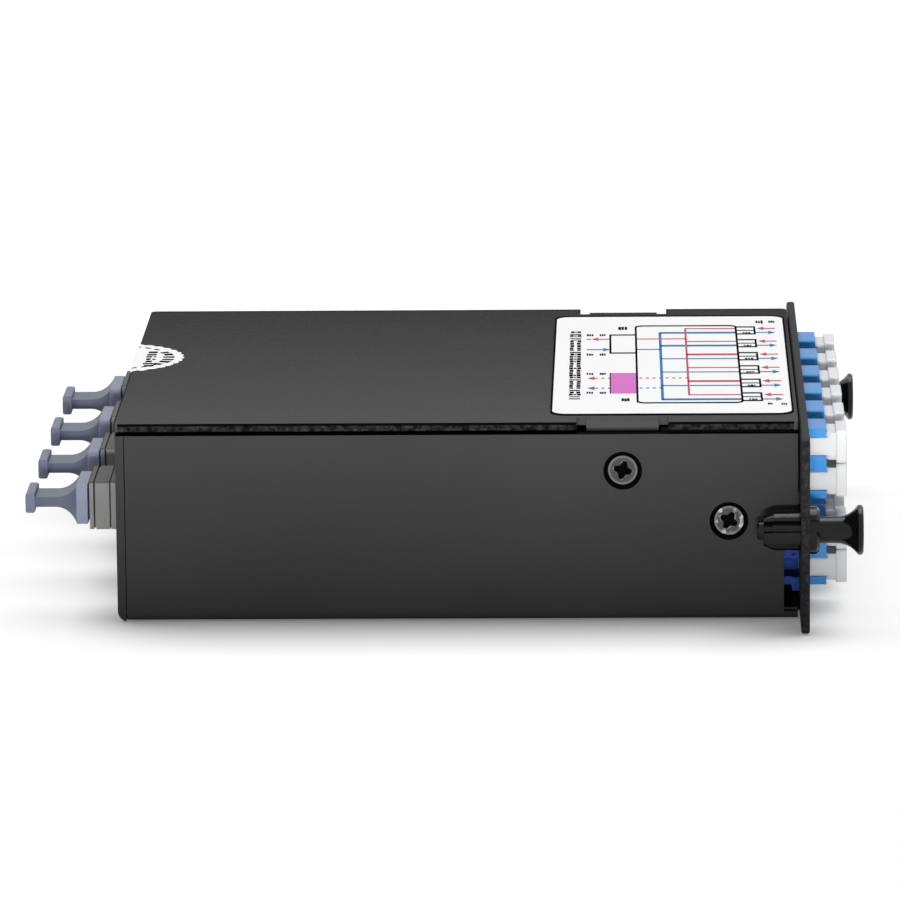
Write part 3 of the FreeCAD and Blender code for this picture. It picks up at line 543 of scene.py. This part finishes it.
def seen_directly(tree):
    """1 for rays from the camera and in clear reflections and refractions, 0 for diffuse light."""
    rays = tree.nodes.new("ShaderNodeLightPath")
    total = rays.outputs["Is Camera Ray"]
    for name in ("Is Glossy Ray", "Is Transmission Ray"):
        add = tree.nodes.new("ShaderNodeMath")
        add.operation = "ADD"
        tree.links.new(total, add.inputs[0])
        tree.links.new(rays.outputs[name], add.inputs[1])
        total = add.outputs[0]
    add.use_clamp = True
    return total


def past_the_ends(shader):
    """1 on the floor past the body's two ends, and 0 along its sides."""
    x = shader.axis("X")
    return shader.any_of(shader.spread(x, LID_REAR - FLOOR_FADE[0], LID_REAR + FLOOR_FADE[1], 1, 0),
                         shader.spread(x, LID_FRONT, LID_FRONT + FLOOR_FADE[0]))


def grey(level):
    return (level, level, level)


def floor_finish():
    """Plain white, shown brighter than it lights the object, as when a backdrop is overexposed. Past the
    body's ends it glows more, which paints out the shadows there.
    """
    shader = Shader("floor", Roughness=0.9, Specular_IOR_Level=0.0)
    lit = shader.mix(shader.noise(400.0, 2.0), *map(grey, FLOOR_LIT))
    seen, beyond = seen_directly(shader.tree), past_the_ends(shader)
    shown = shader.mix(beyond, *map(grey, FLOOR_SHOWN))
    shader.colour(shader.mix(seen, lit, shown))
    glow = shader.math("MULTIPLY_ADD", beyond, FLOOR_GLOW[1] - FLOOR_GLOW[0], FLOOR_GLOW[0])
    shader.link(shader.math("MULTIPLY", seen, glow), shader.surface.inputs["Emission Strength"])
    return shader.material


def make_floor():
    mesh = bpy.data.meshes.new("floor")
    corners = [(x * FLOOR_REACH, y * FLOOR_REACH, 0) for x, y in ((-1, -1), (1, -1), (1, 1), (-1, 1))]
    mesh.from_pydata(corners, [], [(0, 1, 2, 3)])
    mesh.materials.append(floor_finish())
    floor = bpy.data.objects.new("floor", mesh)
    bpy.context.scene.collection.objects.link(floor)


def make_world():
    """White where it is seen directly, and a dim dome for diffuse light."""
    world = bpy.data.worlds.new("studio")
    bpy.context.scene.world = world
    world.use_nodes = True
    tree = world.node_tree
    strength = tree.nodes.new("ShaderNodeMapRange")
    strength.inputs["To Min"].default_value = DOME_DIFFUSE
    strength.inputs["To Max"].default_value = 1.0
    tree.links.new(seen_directly(tree), strength.inputs["Value"])
    background = tree.nodes["Background"]
    background.inputs["Color"].default_value = (1, 1, 1, 1)
    tree.links.new(strength.outputs["Result"], background.inputs["Strength"])


# ---------------------------------------------------------------- printed films

INK = {
    "black": film("ink_black", (0.004, 0.004, 0.004), (0.008, 0.008, 0.008), 0.6, 0.8, 0.0),
    "blue": film("ink_blue", (0.016, 0.180, 0.430), (0.022, 0.200, 0.470), 0.35, 0.5),
    "red": film("ink_red", (0.560, 0.060, 0.090), (0.600, 0.075, 0.105), 0.35, 0.5),
    "magenta": film("ink_magenta", (0.660, 0.165, 0.540), (0.700, 0.185, 0.580), 0.35, 0.5),
}
FILM_WHITE = film("film_white", (0.95, 0.95, 0.955), (0.97, 0.97, 0.97), 0.40, 0.55)
INK_HEIGHT = {"magenta": 0.006, "blue": 0.009, "red": 0.012, "black": 0.015}


def rectangle(u0, u1, v0, v1):
    return [(u0, v0), (u1, v0), (u1, v1), (u0, v1)]


def rounded(u0, u1, v0, v1, radius, steps=8):
    """Outline of a rectangle with rounded corners, anticlockwise."""
    outline = []
    for u, v, first in ((u1 - radius, v0 + radius, -90), (u1 - radius, v1 - radius, 0),
                        (u0 + radius, v1 - radius, 90), (u0 + radius, v0 + radius, 180)):
        for step in range(steps + 1):
            angle = math.radians(first + 90 * step / steps)
            outline.append((u + radius * math.cos(angle), v + radius * math.sin(angle)))
    return outline


def ring(outer, inner):
    """The band between two outlines with as many points each, as one four-sided piece per side."""
    count = len(outer)
    return [[outer[i], outer[(i + 1) % count], inner[(i + 1) % count], inner[i]] for i in range(count)]


def frame_lines(u0, u1, v0, v1, across, along, radius=0.0):
    """A drawn box: its sides are across wide in u and along wide in v."""
    if radius:
        return ring(rounded(u0, u1, v0, v1, radius),
                    rounded(u0 + across, u1 - across, v0 + along, v1 - along, radius - min(across, along)))
    return [rectangle(u0, u0 + across, v0, v1), rectangle(u1 - across, u1, v0, v1),
            rectangle(u0 + across, u1 - across, v0, v0 + along),
            rectangle(u0 + across, u1 - across, v1 - along, v1)]


def build_film(name, pieces, low, high, place, material, cuts=()):
    """A closed thin mesh: each outline of pieces, in millimetres, raised from low to high.

    place turns a point (u, v, height) into the CAD's frame. cuts are lines of constant u that divide the
    mesh, so that it can bend there.
    """
    made = bmesh.new()
    for outline in pieces:
        rings = [[made.verts.new((u, v, height)) for u, v in outline] for height in (low, high)]
        made.faces.new(reversed(rings[0]))
        made.faces.new(rings[1])
        count = len(outline)
        for i in range(count):
            j = (i + 1) % count
            made.faces.new((rings[0][i], rings[0][j], rings[1][j], rings[1][i]))
    for cut in cuts:
        bmesh.ops.bisect_plane(made, geom=made.verts[:] + made.edges[:] + made.faces[:],
                               plane_co=(cut, 0, 0), plane_no=(1, 0, 0), dist=1e-6)
    for vertex in made.verts:
        vertex.co = place(*vertex.co)
    bmesh.ops.recalc_face_normals(made, faces=made.faces)
    mesh = bpy.data.meshes.new(name)
    made.to_mesh(mesh)
    made.free()
    mesh.materials.append(material)
    piece = bpy.data.objects.new(name, mesh)
    bpy.context.scene.collection.objects.link(piece)
    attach(piece, "root")
    return piece


def build_print(name, inks, base, place, cuts=()):
    """One thin mesh for each colour of ink, on a film whose top is at height base."""
    for colour, pieces in inks.items():
        top = base + INK_HEIGHT[colour]
        build_film(f"{name}_{colour}", pieces, base, top, place, INK[colour], cuts)


# ---- wiring label: u runs along +X from its near left corner, v along +Y

LABEL_LOW, LABEL_HIGH = (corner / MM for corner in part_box("wiring_label"))
LABEL_SIZE = LABEL_HIGH - LABEL_LOW
LABEL_CORNER = 3.0
LABEL_BORDER = (0.36, 1.15)
EDGE_INK = 0.03
LABEL_THIN, LABEL_THICK = 1.0, 1.75
RED_TRUNK_WIDTH, BLUE_TRUNK_WIDTH = 0.38, 0.52
BOX_LINE = (0.38, 1.15)
INNER_BOX, INNER_CORNER = (15.1, 34.3, 10.0, 83.6), 1.6
SOURCE_BOX = (10.3, 15.48, 56.2, 74.8)
FIELD_BOX, FIELD_EDGE = (10.5, 15.2, 19.0, 38.0), 0.2
BLUE_TRUNK, RED_TRUNK = 19.8, 24.6
PORT_FIRST, PORT_PITCH, PORT_COUNT = 78.2, 12.5, 6
PORT_WIDTH, PORT_HEIGHT, PORT_DIVIDER = 3.5, 8.0, 0.8
RED_RISE, BLUE_DROP = 1.9, 2.1
ARROW_REACH, ARROW_HEAD, ARROW_HALF = 41.5, 1.35, 1.7
DASH, DASH_GAP = 0.55, 0.65
SOLID_RED, SOLID_BLUE, DASHED_RED, DASHED_BLUE = 70.2, 60.1, 33.1, 24.0
SOLID_RED_END, SOLID_RED_TIP, SOLID_BLUE_TAIL = 6.0, 6.9, 6.1
DASHED_TAIL, DASHED_TIP, DASHED_START = 7.6, 6.2, 0.6
THICK_RED_PORTS, THICK_BLUE_PORTS = (2, 4), (0, 1, 5)
LABEL_LEAN = 0.0045

# bars in place of words: where the heading stands, and u, v, width and height of each caption
TITLE_U, TITLE_V, TITLE_STROKE = (2.9, 5.1), (14.0, 78.0), 0.7
FEED_WORDS = [(u, v, width, 2.2)
              for v in (74.2, 55.4, 37.2, 19.8) for u, width in ((6.1, 1.3), (8.5, 1.2))]
OTHER_WORDS = [(12.0, 80.8, 1.8, 3.6), (12.4, 13.4, 1.5, 3.0), (38.0, 86.4, 1.4, 3.6),
               (40.4, 86.6, 1.2, 2.4), (38.6, 9.4, 0.9, 2.0), (41.0, 9.2, 1.1, 2.2)]
WORD_BARS = 3


def line_along(u0, u1, v, width):
    return rectangle(u0, u1, v - width / 2, v + width / 2)


def trunk(u, width, v0, v1):
    return rectangle(u - width / 2, u + width / 2, v0, v1)


def arrow(tail, tip, v):
    """A thin line from tail to tip at v, with its head at tip."""
    way = 1 if tip > tail else -1
    neck, half = tip - way * ARROW_HEAD, LABEL_THIN / 2
    points = [(tail, v - half), (neck, v - half), (neck, v - ARROW_HALF), (tip, v),
              (neck, v + ARROW_HALF), (neck, v + half), (tail, v + half)]
    return points if way > 0 else points[::-1]


def dashes(u0, u1, v):
    count = int((u1 - u0) / (DASH + DASH_GAP))
    starts = [u0 + i * (DASH + DASH_GAP) for i in range(count + 1)]
    return [line_along(start, start + DASH, v, LABEL_THIN) for start in starts]


def smudge(u, v, width, height, rng):
    """Short plain bars, where a word is printed on the real label."""
    bars = []
    step = width / WORD_BARS
    for i in range(WORD_BARS):
        start = u + i * step
        low = v - height / 2 * rng.uniform(0.6, 1.0)
        bars.append(rectangle(start, start + step * rng.uniform(0.7, 0.9), low,
                              v + height / 2 * rng.uniform(0.6, 1.0)))
    return bars


def label_title(rng):
    """A row of plain bars in place of the heading, which reads along v."""
    bars = []
    v, end = TITLE_V
    while v < end:
        width = rng.uniform(1.2, 2.0)
        left = TITLE_U[0] + rng.uniform(0.0, 0.2)
        right = TITLE_U[1] - rng.uniform(0.0, 0.2)
        form = rng.choice(("full", "pair", "ends"))
        if form == "full":
            bars.append(rectangle(left, right, v, v + width * 0.6))
        else:
            bars.append(rectangle(left, left + TITLE_STROKE, v, v + width))
            bars.append(rectangle(right - TITLE_STROKE, right, v, v + width))
        if form == "pair":
            bars.append(rectangle(left + 0.8, right - 0.8, v + width * 0.2, v + width * 0.8))
        v += width + rng.uniform(0.3, 0.5)
    return bars


def label_boxes():
    """The diagram's outer box, the source box, and the magenta field's left edge."""
    left, _, low, high = FIELD_BOX
    return [*frame_lines(*INNER_BOX, *BOX_LINE, INNER_CORNER), *frame_lines(*SOURCE_BOX, *BOX_LINE),
            rectangle(left - FIELD_EDGE, left, low, high)]


def label_port(index, inks, rng):
    """A port's box with its word, the red and blue lines that lead to it, and the arrows past it."""
    middle = PORT_FIRST - index * PORT_PITCH
    left, right = INNER_BOX[1], INNER_BOX[1] + PORT_WIDTH
    low, high = middle - PORT_HEIGHT / 2, middle + PORT_HEIGHT / 2
    inks["black"] += frame_lines(left - BOX_LINE[0], right, low, high, *BOX_LINE)
    inks["black"].append(line_along(left, right, middle, PORT_DIVIDER))
    inks["black"] += smudge(left + 1.0, middle - 2.1, 1.6, 1.3, rng)
    red_width = LABEL_THICK if index in THICK_RED_PORTS else LABEL_THIN
    blue_width = LABEL_THICK if index in THICK_BLUE_PORTS else LABEL_THIN
    red_v, blue_v = middle + RED_RISE, middle - BLUE_DROP
    inks["red"] += [line_along(RED_TRUNK, left, red_v, red_width), arrow(ARROW_REACH, right + 0.2, red_v)]
    inks["blue"] += [line_along(BLUE_TRUNK, left, blue_v, blue_width), arrow(right, ARROW_REACH, blue_v)]


def label_trunks(inks):
    """The upright line of each colour, from the last port's line to the first one's."""
    last = PORT_FIRST - (PORT_COUNT - 1) * PORT_PITCH
    for colour, u, width, rise, past in (("red", RED_TRUNK, RED_TRUNK_WIDTH, RED_RISE, 0.3),
                                         ("blue", BLUE_TRUNK, BLUE_TRUNK_WIDTH, -BLUE_DROP, 0.5)):
        inks[colour].append(trunk(u, width, last + rise - past, PORT_FIRST + rise + past))


def label_feeds(inks):
    """The lines on the other side: whole ones through the source box, dashed ones through the field."""
    inside, outside = INNER_BOX[0], FIELD_BOX[0]
    inks["red"] += [line_along(inside, RED_TRUNK, SOLID_RED, LABEL_THIN),
                    arrow(outside, SOLID_RED_TIP, SOLID_RED),
                    line_along(SOLID_RED_END, SOLID_RED_TIP, SOLID_RED, LABEL_THIN)]
    inks["blue"] += [line_along(inside, BLUE_TRUNK, SOLID_BLUE, LABEL_THIN),
                     arrow(SOLID_BLUE_TAIL, outside, SOLID_BLUE)]
    for colour, far, v in (("red", RED_TRUNK, DASHED_RED), ("blue", BLUE_TRUNK, DASHED_BLUE)):
        inks[colour] += dashes(inside + DASHED_START, far, v) + dashes(DASHED_TAIL, outside, v)
        inks[colour].append(arrow(DASHED_TAIL, DASHED_TIP, v))


def label_inks():
    """Everything printed on the label, by colour."""
    rng = random.Random(7)
    inks = {"black": label_boxes() + label_title(rng), "blue": [], "red": [],
            "magenta": [rectangle(*FIELD_BOX)]}
    for index in range(PORT_COUNT):
        label_port(index, inks, rng)
    label_trunks(inks)
    label_feeds(inks)
    for place in FEED_WORDS + OTHER_WORDS:
        inks["black"] += smudge(*place, rng)
    return inks


def place_on_label(u, v, height):
    top = LABEL_HIGH[2] - max(INK_HEIGHT.values())
    return Vector((LABEL_LOW[0] + u, LABEL_LOW[1] + v, top + height)) * MM


def place_drawing(u, v, height):
    """The drawing leans a little on its film: its near side lies further along +X."""
    return place_on_label(u + LABEL_LEAN * (PORT_FIRST - v), v, height)


def make_label():
    width, length, depth = LABEL_SIZE
    outline = rounded(EDGE_INK, width - EDGE_INK, EDGE_INK, length - EDGE_INK, LABEL_CORNER - EDGE_INK)
    low = max(INK_HEIGHT.values()) - depth
    sheet = build_film("wiring_label_sheet", [outline], low, 0.0, place_on_label, FILM_WHITE)
    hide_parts("wiring_label")
    build_print("wiring_label", label_inks(), 0.0, place_drawing)
    border = frame_lines(0.0, width, 0.0, length, *LABEL_BORDER, LABEL_CORNER)
    build_film("wiring_label_border", border, low, INK_HEIGHT["black"], place_on_label, INK["black"])


# ---- seal: u runs along the sheet from the fold over the lid's edge, v along +Y from its middle

SEAL_LOW, SEAL_HIGH = (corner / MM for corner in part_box("seal_sticker"))
SEAL_RADIUS = (SEAL_HIGH[1] - SEAL_LOW[1]) / 2
SEAL_MIDDLE = (SEAL_HIGH[1] + SEAL_LOW[1]) / 2
SCALLOPS = 36
SCALLOP_DEPTH = 0.55
SCALLOP_STEPS = 8
SEAL_FOLD = (-0.001, 0.001)

# print on the seal: angles in degrees from the side that lies on the lid
RING_BAND, RING_STEP, RING_BAR = (2.9, 2.2), 12, 7.0
RING_ENDS, RING_MIDDLE, RING_GAP = 128, -3, 36
WORD_ARC, WORD_ROW = (-38, 34, 12), (-8.6, 6.4)


def seal_sheet():
    """Edge position, reach onto the lid, drop behind it and thickness of the seal."""
    lid_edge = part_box("lid")[0][0] / MM
    lid_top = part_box("lid")[1][2] / MM
    return lid_edge, SEAL_HIGH[0] - lid_edge, lid_top - SEAL_LOW[2], SEAL_HIGH[2] - lid_top


def place_on_seal(u, v, height):
    """A point of the flat seal, bent over the lid's rear edge."""
    lid_edge, _, _, depth = seal_sheet()
    lid_top = SEAL_HIGH[2] - depth
    top = depth - max(INK_HEIGHT.values()) + height
    if u > 0:
        return Vector((lid_edge + u, SEAL_MIDDLE + v, lid_top + top)) * MM
    return Vector((lid_edge - top, SEAL_MIDDLE + v, lid_top + u)) * MM


def seal_outline(centre, drop):
    """Scalloped circle about (centre, 0), cut off where the seal ends behind the lid."""
    outline = []
    steps = SCALLOPS * SCALLOP_STEPS
    for step in range(steps):
        angle = 2 * math.pi * step / steps
        radius = SEAL_RADIUS - SCALLOP_DEPTH * (1 - abs(math.cos(angle * SCALLOPS / 2)))
        along = math.cos(angle)
        if along < 0:
            radius = min(radius, (centre + drop) / -along)
        outline.append((centre + radius * along, radius * math.sin(angle)))
    return outline


def make_seal():
    _, reach, drop, depth = seal_sheet()
    centre = reach - SEAL_RADIUS
    low = max(INK_HEIGHT.values()) - depth
    sheet = build_film("seal_sticker_sheet", [seal_outline(centre, drop)], low, 0.0, place_on_seal,
                       FILM_WHITE, SEAL_FOLD)
    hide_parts("seal_sticker")
    inks = {"black": seal_print(centre, drop)}
    build_print("seal_sticker", inks, 0.0, place_on_seal, SEAL_FOLD)


def arc_bar(centre, inner, outer, start, end):
    """A bar that follows a circle about (centre, 0), from angle start to end in degrees."""
    steps = max(1, int((end - start) / 3))
    angles = [math.radians(start + (end - start) * i / steps) for i in range(steps + 1)]
    there = [(centre + outer * math.cos(a), outer * math.sin(a)) for a in angles]
    back = [(centre + inner * math.cos(a), inner * math.sin(a)) for a in reversed(angles)]
    return there + back


def seal_print(centre, drop):
    """A dashed ring, plain bars in place of words, and a dark line of painted shade where the seal is folded.
    """
    rng = random.Random(3)
    bars = []
    inner, outer = (SEAL_RADIUS - inset for inset in RING_BAND)
    for start in range(-RING_ENDS, RING_ENDS, RING_STEP):
        if abs(start - RING_MIDDLE) > RING_GAP:
            bars.append(arc_bar(centre, inner, outer, start, start + RING_BAR))
    for start in range(*WORD_ARC):
        width = rng.uniform(6.0, 9.5)
        foot = SEAL_RADIUS - rng.uniform(3.2, 3.9)
        bars.append(arc_bar(centre, foot, SEAL_RADIUS - rng.uniform(1.5, 2.1), start, start + width))
    v, end = WORD_ROW
    while v < end:
        width = rng.uniform(1.0, 1.7)
        left = rng.uniform(1.7, 2.1)
        bars.append(rectangle(left, left + rng.uniform(0.7, 1.9), v, v + width))
        if rng.random() < 0.6:
            bars.append(rectangle(3.2, 3.8, v + 0.1, v + width * rng.uniform(0.6, 1.0)))
        v += width + rng.uniform(0.5, 0.8)
    # painted shade: a dark line along the fold
    bars.append(rectangle(-0.16, 0.0, -SEAL_RADIUS * 0.2, SEAL_RADIUS * 0.4))
    return [bar for bar in bars if min(u for u, _ in bar) > 0.2 - drop]


# ---- near-black strips of painted shade, in the gaps round the lid's front

STRIP_WIDTH = 0.9
FRONT_STRIP_X = (-1.45, -0.05)
SIDE_STRIP_X = (-24.5, -0.05)
SIDE_STRIP_FOOT = 23.0
# in from the outer faces of the tray's floor and walls, so that the strips press into the sheet
FLOOR_INSET, WALL_INSET = 1.25, 1.3
TOP_GAP, END_GAP, FLANGE_GAP = 0.05, 0.1, 0.04


def place_as_drawn(u, v, height):
    return Vector((u, v, height)) * MM


def make_shade_strips():
    """Strips of painted shade above and below the adapters' flanges, and inside the side walls."""
    shade_strip_black, slot = black_shade_strip(), "black_powder_coat"
    under_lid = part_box("tray")[1][2] / MM - TOP_GAP
    on_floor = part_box("tray")[0][2] / MM + FLOOR_INSET
    over_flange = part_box("lc_adapter_upper_1")[1][2] / MM + FLANGE_GAP
    under_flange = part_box("lc_adapter_lower_1")[0][2] / MM - FLANGE_GAP
    wall = HALF_BODY - WALL_INSET
    half = wall - STRIP_WIDTH - END_GAP
    front = [rectangle(*FRONT_STRIP_X, -half, half)]
    sides = [rectangle(*SIDE_STRIP_X, *sorted((side * wall, side * (wall - STRIP_WIDTH))))
             for side in (-1, 1)]
    # painted shade: near-black strips seen through the gaps round the lid
    build_film("shade_strip_front", front, over_flange, under_lid, place_as_drawn, shade_strip_black)
    build_film("shade_strip_foot", front, on_floor, under_flange, place_as_drawn, shade_strip_black)
    build_film("shade_strip_sides", sides, SIDE_STRIP_FOOT, under_lid, place_as_drawn, shade_strip_black)


# ---------------------------------------------------------------- the scene

make_camera()
make_world()
make_light()
make_floor()
paint_nodes()
make_label()
make_seal()
make_shade_strips()
bpy.context.scene.view_settings.view_transform = "Standard"
